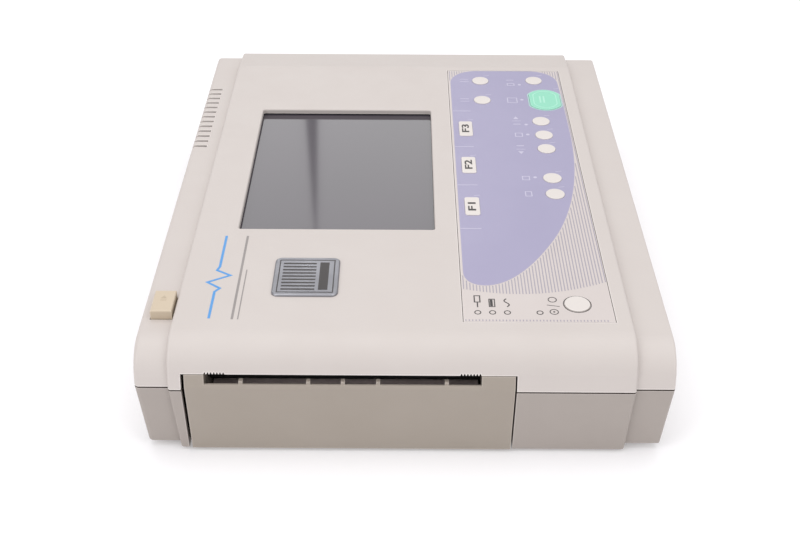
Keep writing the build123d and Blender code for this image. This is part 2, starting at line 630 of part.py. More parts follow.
with BuildPart() as head_pivot_pin:
    rod_x(PIVOT_Y, PIVOT_Z, PIVOT_R, (LEFT_EAR_X[0], RIGHT_EAR_X[1]))
save(head_pivot_pin, "head_pivot_pin")

with BuildPart() as thermal_head:
    block(HEAD_X, (PLATEN_Y - 5, PLATEN_Y + 12), (42.8, 44.0))
save(thermal_head, "thermal_head")

with BuildPart() as head_heatsink:
    block(HEAD_X, (PLATEN_Y - 4, HEAD_BACK_Y), (44.0, 45.2))
    for fin in range(5):
        block(HEAD_X, (PLATEN_Y - 3 + 4 * fin, PLATEN_Y - 1.8 + 4 * fin), (45.0, 47.0))
    for lug in ((LUG_X[0], HEAD_X[0]), (HEAD_X[1], LUG_X[1])):
        block(lug, (HEAD_BACK_Y - 3, PIVOT_Y + 2), (44.4, 47.6))
    block(LUG_X, (HEAD_BACK_Y - 3, HEAD_BACK_Y), (44.4, 45.6))
    rod_x(PIVOT_Y, PIVOT_Z, PIVOT_R + RUN_FIT, (-85, 35), mode=Mode.SUBTRACT)
save(head_heatsink, "head_heatsink")

# ---------------------------------------------------------------- release button and latch
STEM_X = (-103.0, -97.0)
STEM_Y = (-112.3, -107.8)
GUIDE_X = (-105.5, -93.0)
GUIDE_Y = (-118.8, -100.8)
GUIDE_Z = (38.9, 40.0)
CHEEK_X = (-103.4, -95.5)
SPRING_Y = (-115.8, -104.2)
LATCH_X = (-102.6, -88.3)
LATCH_Y = (-113.8, -109.8)
LATCH_Z = (28.0, 31.0)
RAMP_SUM = -66.0
RAMP_GAP = 0.45

with BuildPart() as release_button:
    block(BUTTON_X, BUTTON_Y, (BUTTON_BASE, BUTTON_TOP))
    fillet(release_button.faces().sort_by(Axis.Z)[-1].edges(), 0.7)
    stem_foot = 34.6
    ramp_x = RAMP_SUM + RAMP_GAP - stem_foot
    with BuildSketch(Plane.XZ.offset(-STEM_Y[1])):
        Polygon(
            (STEM_X[0], BUTTON_BASE), (STEM_X[0], RAMP_SUM + RAMP_GAP - STEM_X[0]), (ramp_x, stem_foot),
            (STEM_X[1], stem_foot), (STEM_X[1], BUTTON_BASE), align=None,
        )
    extrude(amount=STEM_Y[1] - STEM_Y[0])
save(release_button, "release_button")

with BuildPart() as latch_slide:
    block(LATCH_X, LATCH_Y, LATCH_Z)
    block((LATCH_X[0], -95.0), (LATCH_Y[0] + 3.5, LATCH_Y[1] + 3), LATCH_Z)
    wedge_foot = LATCH_Z[1] - 0.1
    with BuildSketch(Plane.XZ.offset(-STEM_Y[1])):
        Polygon(
            (LATCH_X[0], wedge_foot), (RAMP_SUM - wedge_foot, wedge_foot),
            (LATCH_X[0], RAMP_SUM - LATCH_X[0]), align=None,
        )
    extrude(amount=STEM_Y[1] - STEM_Y[0])
    block((-92.0, LATCH_X[1]), LATCH_Y, (LATCH_Z[1], LATCH_Z[1] + 3))
save(latch_slide, "latch_slide")

with BuildPart() as latch_guide:
    block(GUIDE_X, GUIDE_Y, GUIDE_Z)
    block(grow(STEM_X, 0.4), grow(STEM_Y, 0.4), grow(GUIDE_Z, 1), mode=Mode.SUBTRACT)
    for y in ((GUIDE_Y[0], GUIDE_Y[0] + 1.5), (GUIDE_Y[1] - 1.5, GUIDE_Y[1])):
        block(CHEEK_X, y, (SHOULDER_BOTTOM + WALL, GUIDE_Z[1]))
    block(CHEEK_X, grow(GUIDE_Y, -1), (LATCH_Z[0] - 1.8, LATCH_Z[0] - 0.4))
save(latch_guide, "latch_guide")

with BuildPart() as button_spring:
    for y in SPRING_Y:
        coil((-100.9, y, GUIDE_Z[1] + 0.1), (0, 0, 1), BUTTON_BASE - GUIDE_Z[1] - 0.2, 1.6, 0.25, 4)
save(button_spring, "button_spring")

with BuildPart() as latch_spring:
    coil((-105.2, sum(LATCH_Y) / 2, 23.4), (1, 0, 0), 2.6, 1.8, 0.25, 3)
save(latch_spring, "latch_spring")

# ---------------------------------------------------------------- electronics and sockets


def board(x, y, screws):
    """Circuit board on pillars, with a clearance hole at each screw."""
    block(x, y, BOARD_Z)
    for px, py in screws:
        rod_z(px, py, 1.6, grow(BOARD_Z, 1), mode=Mode.SUBTRACT)


with BuildPart() as main_board:
    board(BOARD_X, BOARD_Y, BOARD_SCREWS)
save(main_board, "main_board")

with BuildPart() as main_board_parts:
    for x, y, size, height in ((70, -60, 24, 2.2), (70, -20, 16, 1.8), (66, 30, 14, 1.6), (80, -95, 10, 3.0)):
        block((x - size / 2, x + size / 2), (y - size / 2, y + size / 2), (BOARD_Z[1], BOARD_Z[1] + height))
save(main_board_parts, "main_board_parts")

with BuildPart() as front_end_shield:
    block((56.0, 84.0), (64.0, 118.0), (BOARD_Z[1], 25.0))
    block((57.0, 83.0), (65.0, 117.0), (BOARD_Z[1] - 1, 24.0), mode=Mode.SUBTRACT)
save(front_end_shield, "front_end_shield")

with BuildPart() as power_board:
    board(SUPPLY_X, SUPPLY_Y, SUPPLY_SCREWS)
save(power_board, "power_board")

with BuildPart() as power_board_parts:
    block((-78.0, -56.0), (54.0, 78.0), (BOARD_Z[1], 34.0))
    for x in (-74.0, -60.0):
        rod_z(x, 98.0, 6.0, (BOARD_Z[1], 32.0))
save(power_board_parts, "power_board_parts")

with BuildPart() as board_screws:
    for x, y in BOARD_SCREWS + SUPPLY_SCREWS:
        rod_z(x, y, 2.6, (BOARD_Z[1], BOARD_Z[1] + 1.6))
        rod_z(x, y, 1.3, (FLOOR_Z, BOARD_Z[1]))
save(board_screws, "board_screws")

with BuildPart() as speaker:
    rod_z(-15.0, 122.0, 14.0, (FLOOR_Z, 11.0))
save(speaker, "speaker")

with BuildPart() as ac_inlet:
    block((INLET_X, INLET_X + 13.6), grow(INLET_Y, -0.3), grow(INLET_Z, -0.3))
    block((INLET_X - 1, INLET_X + 11.6), grow(INLET_Y, -3), grow(INLET_Z, -3), mode=Mode.SUBTRACT)
save(ac_inlet, "ac_inlet")

with BuildPart() as ac_inlet_pins:
    for y, z in ((87.0, 18.0), (94.0, 22.0), (101.0, 18.0)):
        block((INLET_X + 1.6, INLET_X + 11.6), (y - 1, y + 1), (z - 2, z + 2))
save(ac_inlet_pins, "ac_inlet_pins")

with BuildPart() as equipotential_terminal:
    rod_x(TERMINAL_Y, TERMINAL_Z, 6.5, (TERMINAL_X, TERMINAL_X + 1.4))
    rod_x(TERMINAL_Y, TERMINAL_Z, 3.0, (TERMINAL_X - 2.8, TERMINAL_X))
save(equipotential_terminal, "equipotential_terminal")

with BuildPart() as patient_connector:
    block(grow((CONNECTOR_X, CONNECTOR_X), 19.6), CONNECTOR_Y, grow((CONNECTOR_Z, CONNECTOR_Z), 6.2))
    socket_x = (CONNECTOR_X - 12.5, CONNECTOR_X + 12.5)
    socket_y = (CONNECTOR_Y[0] + 1, CONNECTOR_Y[1] + 1)
    block(socket_x, socket_y, grow((CONNECTOR_Z, CONNECTOR_Z), 4.2), mode=Mode.SUBTRACT)
    for side in (-1, 1):
        jack = (CONNECTOR_X + side * JACK_SPACING / 2, CONNECTOR_Y[0] - 1.4, CONNECTOR_Z)
        with Locations(Location(jack, (-90, 0, 0))):
            Cylinder(1.4, 6, align=(Align.CENTER, Align.CENTER, Align.MIN), mode=Mode.SUBTRACT)
save(patient_connector, "patient_connector")

with BuildPart() as patient_connector_pins:
    for row, (count, z) in enumerate(((8, CONNECTOR_Z + 1.4), (7, CONNECTOR_Z - 1.4))):
        for pin in range(count):
            pin_x = CONNECTOR_X + (pin - (count - 1) / 2) * 2.77
            with Locations(Location((pin_x, CONNECTOR_Y[0] + 1, z), (-90, 0, 0))):
                Cylinder(0.5, 1.6, align=(Align.CENTER, Align.CENTER, Align.MIN))
save(patient_connector_pins, "patient_connector_pins")
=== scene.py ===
import math

import bmesh
import bpy
from mathutils import Matrix, Vector


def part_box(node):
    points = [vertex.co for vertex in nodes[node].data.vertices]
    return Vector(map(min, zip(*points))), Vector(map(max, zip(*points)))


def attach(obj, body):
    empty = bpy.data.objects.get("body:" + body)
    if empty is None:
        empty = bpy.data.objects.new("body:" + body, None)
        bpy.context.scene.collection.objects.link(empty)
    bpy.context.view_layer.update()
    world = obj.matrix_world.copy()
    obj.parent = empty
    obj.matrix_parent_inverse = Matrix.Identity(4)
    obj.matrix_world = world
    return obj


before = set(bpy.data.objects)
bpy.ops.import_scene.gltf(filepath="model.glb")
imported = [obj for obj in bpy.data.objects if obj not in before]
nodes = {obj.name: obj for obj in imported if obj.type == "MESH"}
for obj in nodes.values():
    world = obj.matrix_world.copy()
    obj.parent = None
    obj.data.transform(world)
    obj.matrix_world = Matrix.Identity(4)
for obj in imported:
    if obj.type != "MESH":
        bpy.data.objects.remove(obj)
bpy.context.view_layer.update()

MM = 0.001


# ------------------------------------------------------------------ places taken from the frame
def mm_box(node):
    """Lowest and highest corner of a CAD node, in millimetres."""
    low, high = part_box(node)
    return low / MM, high / MM


OVERLAY_LOW, OVERLAY_HIGH = mm_box("membrane_overlay")
OVERLAY_TOP = OVERLAY_HIGH.z
BAND_TOP = mm_box("top_case")[1].z
SPLIT_Z = mm_box("bottom_case")[1].z
INK = 0.05  # thickness of a printed layer, mm
KEY_NODES = [n for n in nodes if n.endswith("_key") or n.startswith("soft_key")]


def centre_of(node):
    """Middle of a CAD node's box, in millimetres."""
    low, high = mm_box(node)
    return (low + high) / 2


# ------------------------------------------------------------------ camera, lights and floor
# The camera was fitted to straight edges of the object in the photograph.
CAMERA_PLACE = Vector((-1.35, -526.90, 355.27)) * MM
CAMERA_PITCH = math.radians(34.132)
CAMERA_YAW = math.radians(-0.105)
CAMERA_ROLL = math.radians(-0.273)
CAMERA_LENS = 55.73
CAMERA_SENSOR = 36.0
CAMERA_CLIP = (0.01, 50.0)

WHITE = (1.0, 1.0, 1.0, 1.0)
WORLD_STRENGTH = 0.62
STUDIO_MIDDLE = (0.0, 0.0, 0.03)
# Name, place, size and power of each light.
STUDIO_LIGHTS = (
    ("overhead", (0.0, 0.1, 1.5), (1.6, 1.6), 12.0),
    ("front_left", (-1.1, -0.9, 1.0), (0.9, 0.9), 6.6),
    ("front_right", (1.0, -0.9, 0.9), (0.9, 0.9), 4.0),
)
# Two softboxes beyond the far end, mirrored by the display window with a narrow gap between them.
WINDOW_LIGHTS = (
    ("window_left", (-0.270, 1.5, 0.925), (0.190, 0.32), 0.40),
    ("window_right", (-0.0215, 1.5, 0.925), (0.281, 0.32), 0.60),
)
FLOOR_HALF = 6.0
FLOOR_COLOUR = (0.78, 0.77, 0.79, 1.0)
FLOOR_GLOW = 0.22
FLOOR_ROUGHNESS = 0.9


def make_camera():
    """Pinhole camera that looks down at the front of the machine, with a little yaw and roll."""
    forward = Vector((
        math.sin(CAMERA_YAW) * math.cos(CAMERA_PITCH),
        math.cos(CAMERA_YAW) * math.cos(CAMERA_PITCH),
        -math.sin(CAMERA_PITCH),
    ))
    level = Vector((math.cos(CAMERA_YAW), -math.sin(CAMERA_YAW), 0.0))
    down = forward.cross(level)
    right = math.cos(CAMERA_ROLL) * level + math.sin(CAMERA_ROLL) * down
    up = math.sin(CAMERA_ROLL) * level - math.cos(CAMERA_ROLL) * down
    data = bpy.data.cameras.new("camera")
    data.lens = CAMERA_LENS
    data.sensor_width = CAMERA_SENSOR
    data.clip_start, data.clip_end = CAMERA_CLIP
    camera = bpy.data.objects.new("camera", data)
    bpy.context.scene.collection.objects.link(camera)
    turn = Matrix((right, up, -forward)).transposed()
    camera.matrix_world = Matrix.Translation(CAMERA_PLACE) @ turn.to_4x4()
    bpy.context.scene.camera = camera


def area_light(name, place, target, size, power):
    """White rectangular light at a place, turned to a target; all in metres."""
    data = bpy.data.lights.new(name, "AREA")
    data.shape = "RECTANGLE"
    data.size, data.size_y = size
    data.energy = power
    light = bpy.data.objects.new(name, data)
    bpy.context.scene.collection.objects.link(light)
    light.location = place
    light.rotation_euler = (Vector(target) - Vector(place)).to_track_quat("-Z", "Y").to_euler()


def make_floor():
    """Wide sheet of glowing white paper under the machine."""
    h = FLOOR_HALF
    mesh = bpy.data.meshes.new("floor")
    mesh.from_pydata([(-h, -h, 0), (h, -h, 0), (h, h, 0), (-h, h, 0)], [], [(0, 1, 2, 3)])
    floor = bpy.data.objects.new("floor", mesh)
    bpy.context.scene.collection.objects.link(floor)
    paper = bpy.data.materials.new("floor_paper")
    paper.use_nodes = True
    shader = paper.node_tree.nodes["Principled BSDF"]
    shader.inputs["Base Color"].default_value = FLOOR_COLOUR
    shader.inputs["Emission Color"].default_value = WHITE
    shader.inputs["Emission Strength"].default_value = FLOOR_GLOW
    shader.inputs["Roughness"].default_value = FLOOR_ROUGHNESS
    mesh.materials.append(paper)


def make_studio():
    """White world, lights and floor."""
    world = bpy.data.worlds.new("studio")
    bpy.context.scene.world = world
    world.use_nodes = True
    background = world.node_tree.nodes["Background"]
    background.inputs["Color"].default_value = WHITE
    background.inputs["Strength"].default_value = WORLD_STRENGTH
    for name, place, size, power in STUDIO_LIGHTS:
        area_light(name, place, STUDIO_MIDDLE, size, power)
    for name, place, size, power in WINDOW_LIGHTS:
        area_light(name, place, centre_of("display_window") * MM, size, power)
    make_floor()
    bpy.context.scene.view_settings.view_transform = "Standard"


# ------------------------------------------------------------------ materials
def linear(colour):
    """Display colour, 0 to 255, as the linear values that a shader takes."""
    steps = [c / 255 for c in colour]
    return [s / 12.92 if s <= 0.04045 else ((s + 0.055) / 1.055) ** 2.4 for s in steps]


class Surface:
    """A procedural material: a base shader with colour mottling, fine grain and a painted highlight
    on its edges.

    Methods that add a layer return the surface, so that they can be chained.
    """

    EVEN = (1.0, 1.0, 1.0)
    EDGE_REACH = 0.9  # mm
    EDGE_SAMPLES = 6
    EDGE_TURN = (0.995, 0.88)  # cosine of the turn where the painted edge highlight starts, and where it is full
    MOTTLE_BAND = (0.35, 0.65)
    ROUGH_BAND = (0.3, 0.7)
    BUMP_STRENGTH = 0.25

    def __init__(self, name, colour, roughness, metallic=0.0):
        self.material = bpy.data.materials.new(name)
        self.material.use_nodes = True
        self.tree = self.material.node_tree
        self.shader = self.tree.nodes["Principled BSDF"]
        self.colour = (*linear(colour), 1.0)
        self.shader.inputs["Base Color"].default_value = self.colour
        self.shader.inputs["Roughness"].default_value = roughness
        self.shader.inputs["Metallic"].default_value = metallic
        self.coords = self.add("ShaderNodeTexCoord").outputs["Object"]
        self.tint = None

    def add(self, kind, **values):
        """New node with some of its properties set."""
        node = self.tree.nodes.new(kind)
        for key, value in values.items():
            setattr(node, key, value)
        return node

    def link(self, source, target):
        self.tree.links.new(source, target)

    def noise(self, scale, detail=3.0, stretch=EVEN):
        """Noise over the object's own coordinates, 0 to 1."""
        mapping = self.add("ShaderNodeMapping")
        mapping.inputs["Scale"].default_value = stretch
        self.link(self.coords, mapping.inputs["Vector"])
        noise = self.add("ShaderNodeTexNoise")
        noise.inputs["Scale"].default_value = scale
        noise.inputs["Detail"].default_value = detail
        self.link(mapping.outputs["Vector"], noise.inputs["Vector"])
        return noise.outputs["Fac"]

    def blend(self, factor, colour):
        """Mix another display colour over the present one by a factor output."""
        mix = self.add("ShaderNodeMix", data_type="RGBA")
        self.link(factor, mix.inputs["Factor"])
        if self.tint is None:
            mix.inputs["A"].default_value = self.colour
        else:
            self.link(self.tint, mix.inputs["A"])
        mix.inputs["B"].default_value = (*linear(colour), 1.0)
        self.tint = mix.outputs["Result"]
        self.link(self.tint, self.shader.inputs["Base Color"])
        return self

    def ranged(self, source, band, new_band):
        """A value mapped from one band to another, and held inside it."""
        span = self.add("ShaderNodeMapRange")
        for key, value in zip(("From Min", "From Max", "To Min", "To Max"), (*band, *new_band)):
            span.inputs[key].default_value = value
        self.link(source, span.inputs["Value"])
        return span.outputs["Result"]

    def mottle(self, colour, scale=30.0, amount=0.35):
        """Soft patches of another colour."""
        patches = self.ranged(self.noise(scale), self.MOTTLE_BAND, (0.0, amount))
        return self.blend(patches, colour)

    def uneven(self, low, high, scale=90.0):
        """Roughness that wanders between two values."""
        rough = self.ranged(self.noise(scale), self.ROUGH_BAND, (low, high))
        self.link(rough, self.shader.inputs["Roughness"])
        return self

    def grain(self, scale=2200.0, depth=0.05, stretch=EVEN):
        """Fine bumps, with their depth in millimetres."""
        bump = self.add("ShaderNodeBump")
        bump.inputs["Strength"].default_value = self.BUMP_STRENGTH
        bump.inputs["Distance"].default_value = depth * MM
        self.link(self.noise(scale, 2.0, stretch), bump.inputs["Height"])
        self.link(bump.outputs["Normal"], self.shader.inputs["Normal"])
        return self

    def paint_edge_highlight(self, colour, amount=0.8):
        """Painted highlight on the edges: a lighter colour where the surface turns within a short
        distance.
        """
        bevel = self.add("ShaderNodeBevel", samples=self.EDGE_SAMPLES)
        bevel.inputs["Radius"].default_value = self.EDGE_REACH * MM
        flat = self.add("ShaderNodeNewGeometry").outputs["True Normal"]
        turn = self.add("ShaderNodeVectorMath", operation="DOT_PRODUCT")
        self.link(bevel.outputs["Normal"], turn.inputs[0])
        self.link(flat, turn.inputs[1])
        edges = self.ranged(turn.outputs["Value"], self.EDGE_TURN, (0.0, amount))
        return self.blend(edges, colour)

    def groove(self, low, high, colour):
        """Another colour between two heights, for the shaded gap between the case halves."""
        height = self.add("ShaderNodeSeparateXYZ")
        self.link(self.coords, height.inputs[0])
        both = self.add("ShaderNodeMath", operation="MULTIPLY")
        for slot, (test, limit) in enumerate((("GREATER_THAN", low), ("LESS_THAN", high))):
            side = self.add("ShaderNodeMath", operation=test)
            side.inputs[1].default_value = limit * MM
            self.link(height.outputs["Z"], side.inputs[0])
            self.link(side.outputs[0], both.inputs[slot])
        return self.blend(both.outputs[0], colour)


# Range of roughness and depth of grain, in millimetres, of the kinds of plastic and print.
CASE_FINISH = ((0.42, 0.58), 0.05)
BUTTON_FINISH = ((0.38, 0.5), 0.05)
WRAP_FINISH = ((0.35, 0.5), 0.05)
CAP_FINISH = ((0.3, 0.42), 0.02)
FILM_FINISH = ((0.3, 0.42), 0.03)
INK_FINISH = ((0.4, 0.5), 0.02)
RUBBER_FINISH = ((0.7, 0.85), 0.08)
PAPER_FINISH = ((0.7, 0.85), 0.04)
BOARD_FINISH = ((0.3, 0.45), 0.02)
ACETAL_FINISH = ((0.35, 0.5), 0.02)
CERAMIC_FINISH = ((0.2, 0.35), 0.01)
LENS_FINISH = ((0.15, 0.3), 0.01)
METAL_SHADE = 0.82  # of the metal's own colour
METAL_MOTTLE = 60.0
METAL_UNEVEN = (0.8, 1.3)  # of the metal's own roughness
METAL_GRAIN = (1200.0, 0.03)


def moulded(name, colour, shade, edge, finish=CASE_FINISH, groove=None):
    """Plastic or print: its colour, the colour of its patches and that of the painted highlight on
    its edges.
    """
    roughness, depth = finish
    surface = Surface(name, colour, roughness[0])
    surface.mottle(shade).paint_edge_highlight(edge).uneven(*roughness).grain(depth=depth)
    if groove:
        surface.groove(*groove)
    return surface.material


def metal(name, colour, roughness, stretch=Surface.EVEN):
    """Bare metal, with its grain drawn out along an axis where stretch is small."""
    surface = Surface(name, colour, roughness, metallic=1.0)
    darker = [c * METAL_SHADE for c in colour]
    surface.mottle(darker, METAL_MOTTLE).uneven(*[roughness * share for share in METAL_UNEVEN])
    surface.grain(*METAL_GRAIN, stretch)
    return surface.material


def make_glass():
    """Dark, glossy display window."""
    surface = Surface("display_glass", (70, 64, 72), 0.06)
    surface.mottle((66, 63, 68), scale=14.0, amount=0.5)
    surface.shader.inputs["Specular IOR Level"].default_value = 0.5
    return surface.material


# Heights and colour of the shaded gap where the case halves meet.
SPLIT = (SPLIT_Z - 0.72, SPLIT_Z + 0.1, (74, 62, 54))

# Each material: its colour, the colour of its patches, and the lighter colour of the painted
# highlight on its edges.
UPPER = moulded("upper_plastic", (202, 194, 190), (198, 189, 185), (232, 226, 222))
LOWER = moulded("lower_plastic", (166, 157, 151), (159, 150, 144), (194, 187, 182), groove=SPLIT)
DRAWER = moulded("drawer_plastic", (160, 150, 140), (154, 144, 133), (186, 177, 167))
BUTTON = moulded("button_plastic", (204, 188, 167), (197, 181, 158), (222, 208, 190), BUTTON_FINISH)
KEY_CREAM = moulded("key_plastic", (218, 211, 207), (211, 204, 199), (232, 226, 222), CAP_FINISH)
START_EDGE = moulded("start_rim", (172, 206, 202), (166, 200, 196), (184, 214, 210), CAP_FINISH)
START_INNER = moulded("start_mark", (170, 226, 205), (162, 220, 198), (184, 232, 214), CAP_FINISH)
START_CAP = moulded("start_plastic", (146, 214, 188), (136, 210, 183), (190, 234, 216), CAP_FINISH)
FILM = moulded("overlay_film", (205, 196, 193), (199, 189, 186), (216, 208, 205), FILM_FINISH)
LAVENDER = moulded("lavender_ink", (162, 157, 185), (156, 151, 180), (172, 167, 194), FILM_FINISH)
HATCH = moulded("hatch_ink", (160, 153, 166), (152, 145, 158), (172, 166, 176), INK_FINISH)
PALE_INK = moulded("pale_ink", (194, 190, 210), (188, 184, 205), (202, 198, 216), INK_FINISH)
DARK_INK = moulded("dark_ink", (58, 54, 54), (72, 68, 68), (80, 76, 76), INK_FINISH)
BLUE_INK = moulded("blue_ink", (84, 150, 214), (74, 138, 204), (104, 166, 222), INK_FINISH)
BUTTON_INK = moulded("button_shade", (186, 170, 148), (180, 164, 142), (196, 182, 160), INK_FINISH)
GREY_INK = moulded("grey_ink", (146, 140, 138), (134, 128, 126), (160, 154, 152), INK_FINISH)
BLACK = moulded("black_plastic", (34, 33, 34), (44, 43, 44), (70, 68, 68))
RUBBER = moulded("rubber", (38, 37, 37), (50, 49, 48), (64, 62, 60), RUBBER_FINISH)
BOARD = moulded("solder_mask", (22, 92, 52), (18, 80, 44), (60, 130, 84), BOARD_FINISH)
WRAP = moulded("battery_wrap", (44, 82, 138), (38, 74, 126), (90, 120, 164), WRAP_FINISH)
ACETAL = moulded("acetal", (228, 228, 222), (218, 218, 212), (240, 240, 236), ACETAL_FINISH)
PAPER = moulded("chart_paper", (240, 222, 220), (232, 210, 208), (246, 234, 232), PAPER_FINISH)
POLYESTER = moulded("circuit_film", (190, 186, 160), (178, 174, 148), (204, 200, 180), BOARD_FINISH)
CERAMIC = moulded("head_ceramic", (92, 82, 70), (80, 70, 60), (120, 110, 98), CERAMIC_FINISH)
LAMP = moulded("lamp_lens", (206, 214, 200), (194, 204, 190), (224, 230, 220), LENS_FINISH)
STEEL = metal("bright_steel", (190, 190, 192), 0.3, (0.1, 1.0, 1.0))
SHEET = metal("folded_sheet", (186, 187, 190), 0.38)
MOTOR = metal("motor_can", (150, 150, 154), 0.42)
BRASS = metal("plated_brass", (206, 176, 104), 0.3)
LABEL = metal("label_foil", (160, 160, 166), 0.34, (1.0, 0.15, 1.0))
GLASS = make_glass()
MATERIALS = {
    "top_case": UPPER, "bottom_case": LOWER, "battery_cover": LOWER, "drawer_front": DRAWER,
    "drawer_tray": DRAWER, "rubber_feet": RUBBER, "case_screws": STEEL, "board_screws": STEEL,
    "display_window": GLASS, "display_gasket": RUBBER, "display_module": SHEET,
    "membrane_overlay": FILM, "membrane_circuit": POLYESTER, "dome_contacts": STEEL,
    "status_leds": LAMP, "release_button": BUTTON, "asset_label": LABEL, "main_board": BOARD,
    "power_board": BOARD, "main_board_parts": BLACK, "power_board_parts": BLACK,
    "front_end_shield": SHEET, "printer_chassis": SHEET, "battery_pack": WRAP,
    "ac_inlet": BLACK, "patient_connector": BLACK, "speaker": BLACK, "ac_inlet_pins": BRASS,
    "patient_connector_pins": BRASS, "equipotential_terminal": BRASS, "head_pivot_pin": STEEL,
    "idler_shaft": STEEL, "platen_shaft": STEEL, "drawer_rails": STEEL, "button_spring": STEEL,
    "latch_spring": STEEL, "stepper_motor": MOTOR, "platen_bearings": ACETAL,
    "platen_gear": ACETAL, "idler_gear": ACETAL, "latch_slide": ACETAL, "latch_guide": ACETAL,
    "motor_pinion": BRASS, "platen_roller": RUBBER, "paper_pack": PAPER,
    "thermal_head": CERAMIC, "head_heatsink": SHEET, "start_key": START_CAP,
}


def dress_nodes():
    """Give each CAD node its material; the nodes that are not listed are cream keys."""
    for name, node in nodes.items():
        node.data.materials.clear()
        node.data.materials.append(MATERIALS.get(name, KEY_CREAM))


# ------------------------------------------------------------------ outlines and printing
WELD = 1e-6  # m; closer vertices are joined
MITRE_LIMIT = 0.4
RING_CORNERS = 24
LETTER_SIZE = 7.0
LETTER_WEIGHT = 0.16
LETTER_STRETCH = (1.42, 0.72)


def arc(centre, radius, start, end, steps=12):
    """Points round part of a circle, angles in degrees."""
    angles = [math.radians(start + (end - start) * i / steps) for i in range(steps + 1)]
    return [(centre[0] + radius * math.cos(a), centre[1] + radius * math.sin(a)) for a in angles]


def cubic(a, b, c, d, steps):
    """Points along a Bezier curve, without its first."""
    points = []
    for i in range(1, steps + 1):
        t = i / steps
        weights = ((1 - t) ** 3, 3 * t * (1 - t) ** 2, 3 * t * t * (1 - t), t ** 3)
        points.append(tuple(sum(w * p[k] for w, p in zip(weights, (a, b, c, d))) for k in (0, 1)))
    return points


def strip(start, end, width):
    """Thin rectangle between two points."""
    along = (Vector(end) - Vector(start)).normalized()
    side = Vector((-along.y, along.x)) * width / 2
    start, end = Vector(start), Vector(end)
    return [tuple(p) for p in (start + side, end + side, end - side, start - side)]


def bar_x(x, y, width):
    """Thin rectangle along X between (low, high) limits."""
    return strip((x[0], y), (x[1], y), width)


def bar_y(x, y, width):
    """Thin rectangle along Y between (low, high) limits."""
    return strip((x, y[0]), (x, y[1]), width)


def box(x, y):
    """Corners of a rectangle between (low, high) limits."""
    return [(x[0], y[0]), (x[1], y[0]), (x[1], y[1]), (x[0], y[1])]


def inset(x, y, gap):
    """The same (low, high) limits, drawn in at both ends."""
    return (x[0] + gap, x[1] - gap), (y[0] + gap, y[1] - gap)


def frame_loops(x, y, width):
    """Hollow rectangle between (low, high) limits."""
    return [box(x, y), box(*inset(x, y, width))]


def ribbon(points, width):
    """Outline of a line of constant width through some points, with mitred corners."""
    points = [Vector(p) for p in points]
    ways = [(b - a).normalized() for a, b in zip(points, points[1:])]
    normals = [Vector((-w.y, w.x)) for w in ways]
    left, right = [], []
    for point, before, after in zip(points, normals[:1] + normals, normals + normals[-1:]):
        middle = (before + after).normalized()
        reach = width / 2 / max(middle.dot(before), MITRE_LIMIT)
        left.append(tuple(point + middle * reach))
        right.append(tuple(point - middle * reach))
    return left + right[::-1]


def disc(centre, radius, corners):
    """Whole circle, as a loop of corners."""
    return arc(centre, radius, 0, 360 - 360 / corners, corners - 1)


def ring(centre, radius, width):
    """Circle outline of a given width."""
    return [disc(centre, radius, RING_CORNERS), disc(centre, radius - width, RING_CORNERS)]


def outline_mesh(name, curve):
    """Mesh of a filled and extruded curve."""
    holder = bpy.data.objects.new(name + "_outline", curve)
    bpy.context.scene.collection.objects.link(holder)
    bpy.context.view_layer.update()
    mesh = bpy.data.meshes.new_from_object(holder)
    bpy.data.objects.remove(holder)
    return mesh


def add_piece(name, mesh, material, body):
    """A printed piece that moves with a body."""
    mesh.materials.clear()
    mesh.materials.append(material)
    piece = bpy.data.objects.new(name, mesh)
    bpy.context.scene.collection.objects.link(piece)
    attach(piece, body)


def print_mark(name, loops, z, material, body="case"):
    """Closed plate of ink on the height z, from outlines in XY; a loop inside another is a hole."""
    curve = bpy.data.curves.new(name, "CURVE")
    curve.dimensions = "2D"
    curve.fill_mode = "BOTH"
    curve.extrude = INK * MM / 2
    for loop in loops:
        spline = curve.splines.new("POLY")
        spline.points.add(len(loop) - 1)
        for point, (x, y) in zip(spline.points, loop):
            point.co = (x * MM, y * MM, 0.0, 1.0)
        spline.use_cyclic_u = True
    mesh = outline_mesh(name, curve)
    mesh.transform(Matrix.Translation((0.0, 0.0, (z + INK / 2) * MM)))
    solid = bmesh.new()
    solid.from_mesh(mesh)
    bmesh.ops.remove_doubles(solid, verts=solid.verts, dist=WELD)
    bmesh.ops.recalc_face_normals(solid, faces=solid.faces)
    solid.to_mesh(mesh)
    solid.free()
    add_piece(name, mesh, material, body)


def print_letters(name, text, centre, z, material, body):
    """Generic key lettering that reads from the operator's side, +X."""
    curve = bpy.data.curves.new(name, "FONT")
    curve.body = text
    curve.size = LETTER_SIZE * MM
    curve.align_x = "CENTER"
    curve.align_y = "CENTER"
    curve.extrude = INK * MM / 2
    curve.offset = LETTER_WEIGHT * MM
    mesh = outline_mesh(name, curve)
    place = Matrix.Translation((centre.x * MM, centre.y * MM, (z + INK / 2) * MM))
    turn = Matrix.Rotation(math.pi / 2, 4, "Z")
    mesh.transform(place @ turn @ Matrix.Diagonal((*LETTER_STRETCH, 1.0, 1.0)))
    add_piece(name, mesh, material, body)


# ------------------------------------------------------------------ keypad film
# The lavender field. Each row of its curve is two handles, an end and a count of steps.
FIELD_LEFT, FIELD_TOP = 25.0, 115.05
FIELD_RIGHT_TOP, FIELD_RIGHT = 84.4, 85.0
FIELD_CORNER = 15.0
FIELD_CURVE = (
    ((FIELD_RIGHT, 84.0), (FIELD_RIGHT, 56.0), (FIELD_RIGHT, 40.1), 16),
    ((FIELD_RIGHT, -1.0), (78.4, -36.4), (67.0, -59.7), 16),
    ((58.1, -77.5), (46.2, -96.3), (34.2, -96.3), 16),
    ((28.4, -96.3), (FIELD_LEFT, -92.5), (FIELD_LEFT, -86.0), 8),
)


